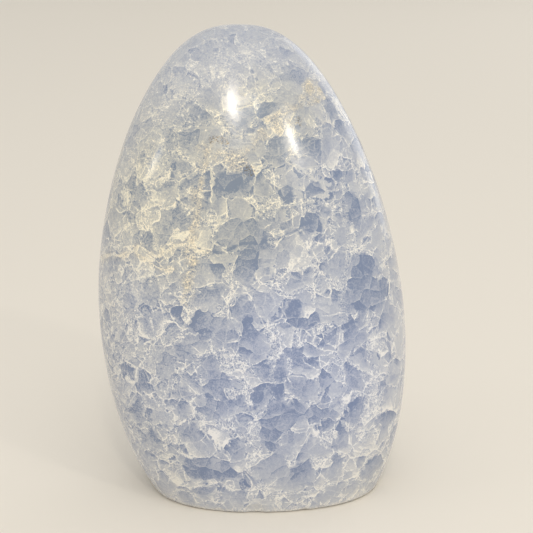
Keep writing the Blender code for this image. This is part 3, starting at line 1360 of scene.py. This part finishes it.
@dataclass
class Studio:
    """Plain pale floor, soft lights and the camera at the photograph's angle."""

    camera_distance: float = 0.470
    camera_elevation: float = math.radians(15)
    camera_target: tuple[float, float, float] = (0.00378, 0.0, 0.0633)
    focal_px: float = 1688.5
    sensor_mm: float = 36.0
    clip_start: float = 0.01
    floor_radius: float = 4.0
    floor_sides: int = 128
    floor_colour: str = "#eae5dc"
    floor_roughness: float = 0.8
    world_colour: str = "#f2efe9"
    world_strength: float = 0.82
    lamp_target: tuple[float, float, float] = (0.0, 0.0, 0.1)
    lamps: tuple[Lamp, ...] = (
        Lamp("overhead", 10, 60, 1.6, 1.2, 0.9, 3.3, mirrored=False),
        Lamp("fill", 20, 8, 1.6, 1.2, 0.9, 2.2, mirrored=False),
        Lamp("rim", 140, 15, 1.5, 1.0, 1.2, 2.4),
        Lamp("window", 3, 38, 1.2, 0.078, 0.165, 1.55, roll=38, colour="#fff7ea"),
        Lamp("strip", 38, 29, 1.2, 0.055, 0.15, 1.25, roll=46, colour="#fff7ea"),
        Lamp("window glow", 3, 39, 1.25, 0.30, 0.38, 0.50, roll=20, colour="#ffe9c8"),
        Lamp("left streak", -62, 21, 1.2, 0.010, 0.30, 0.34, roll=-53),
        Lamp("upper streak", 16, 38, 1.2, 0.014, 0.12, 0.18, roll=20),
    )

    def camera(self) -> None:
        """Place the camera."""
        data = bpy.data.cameras.new("camera")
        data.sensor_width = self.sensor_mm
        data.lens = self.focal_px / IMAGE_SIDE_PX * self.sensor_mm
        data.clip_start = self.clip_start
        camera = bpy.data.objects.new("camera", data)
        bpy.context.scene.collection.objects.link(camera)
        back = Vector((0, -math.cos(self.camera_elevation), math.sin(self.camera_elevation)))
        camera.location = Vector(self.camera_target) + back * self.camera_distance
        camera.rotation_euler = back.to_track_quat("Z", "Y").to_euler()
        bpy.context.scene.camera = camera

    def floor(self) -> None:
        """Lay the floor."""
        bpy.ops.object.select_all(action="DESELECT")
        bpy.ops.mesh.primitive_circle_add(
            vertices=self.floor_sides, radius=self.floor_radius, fill_type="NGON"
        )
        floor = bpy.context.object
        floor.name = "floor"

        # Matt and warm white, so the eye sees a soft shadow and no reflection.
        material = bpy.data.materials.new("Pale matt floor")
        material.use_nodes = True
        shader = material.node_tree.nodes["Principled BSDF"]
        shader.inputs["Base Color"].default_value = linear(self.floor_colour)
        shader.inputs["Roughness"].default_value = self.floor_roughness
        floor.data.materials.append(material)
        floor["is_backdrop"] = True

    def light(self, lamp: Lamp) -> None:
        """Hang one lamp, aimed at the stone.

        Args:
            lamp: the lamp.
        """
        data = bpy.data.lights.new(lamp.name, "AREA")
        data.shape = "ELLIPSE"
        data.size, data.size_y = lamp.width, lamp.height
        data.energy = lamp.power
        data.color = linear(lamp.colour)[:3]
        light = bpy.data.objects.new(lamp.name, data)
        bpy.context.scene.collection.objects.link(light)
        azimuth, elevation = math.radians(lamp.azimuth), math.radians(lamp.elevation)
        away = Vector(
            (
                math.sin(azimuth) * math.cos(elevation),
                -math.cos(azimuth) * math.cos(elevation),
                math.sin(elevation),
            )
        )
        light.location = Vector(self.lamp_target) + away * lamp.distance
        roll = Matrix.Rotation(math.radians(lamp.roll), 3, "Z")
        light.rotation_euler = (away.to_track_quat("Z", "Y").to_matrix() @ roll).to_euler()
        light.visible_glossy = lamp.mirrored

    def surroundings(self) -> None:
        """Light the stone evenly from all round."""
        world = bpy.data.worlds.new("studio")
        bpy.context.scene.world = world
        world.use_nodes = True
        background = world.node_tree.nodes["Background"]
        background.inputs["Color"].default_value = linear(self.world_colour)
        background.inputs["Strength"].default_value = self.world_strength

    def build(self) -> None:
        """Set the whole stage."""
        self.camera()
        self.floor()
        self.surroundings()
        for lamp in self.lamps:
            self.light(lamp)
        bpy.context.scene.view_settings.view_transform = "Standard"


def write_sizes() -> None:
    """Work out the CAD model's box and the visual model's; nothing is kept."""
    boxes = {"cad": CAD_BOUNDS, "visual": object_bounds()}
    {name: [list(corner) for corner in box] for name, box in boxes.items()}


def main() -> None:
    """Build the stone and its stage."""
    logging.basicConfig(level=logging.INFO, format="%(message)s")
    stone = Stone()
    piece = stone.build()
    stone.dress(piece)
    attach(piece, "root")
    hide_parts(CAD_NODE)
    LOG.info("%s: %d faces", piece.name, len(piece.data.polygons))
    studio = Studio()
    studio.build()
    LOG.info("stage: floor, camera and %d lamps", len(studio.lamps))
    write_sizes()


if __name__ == "__main__":
    main()
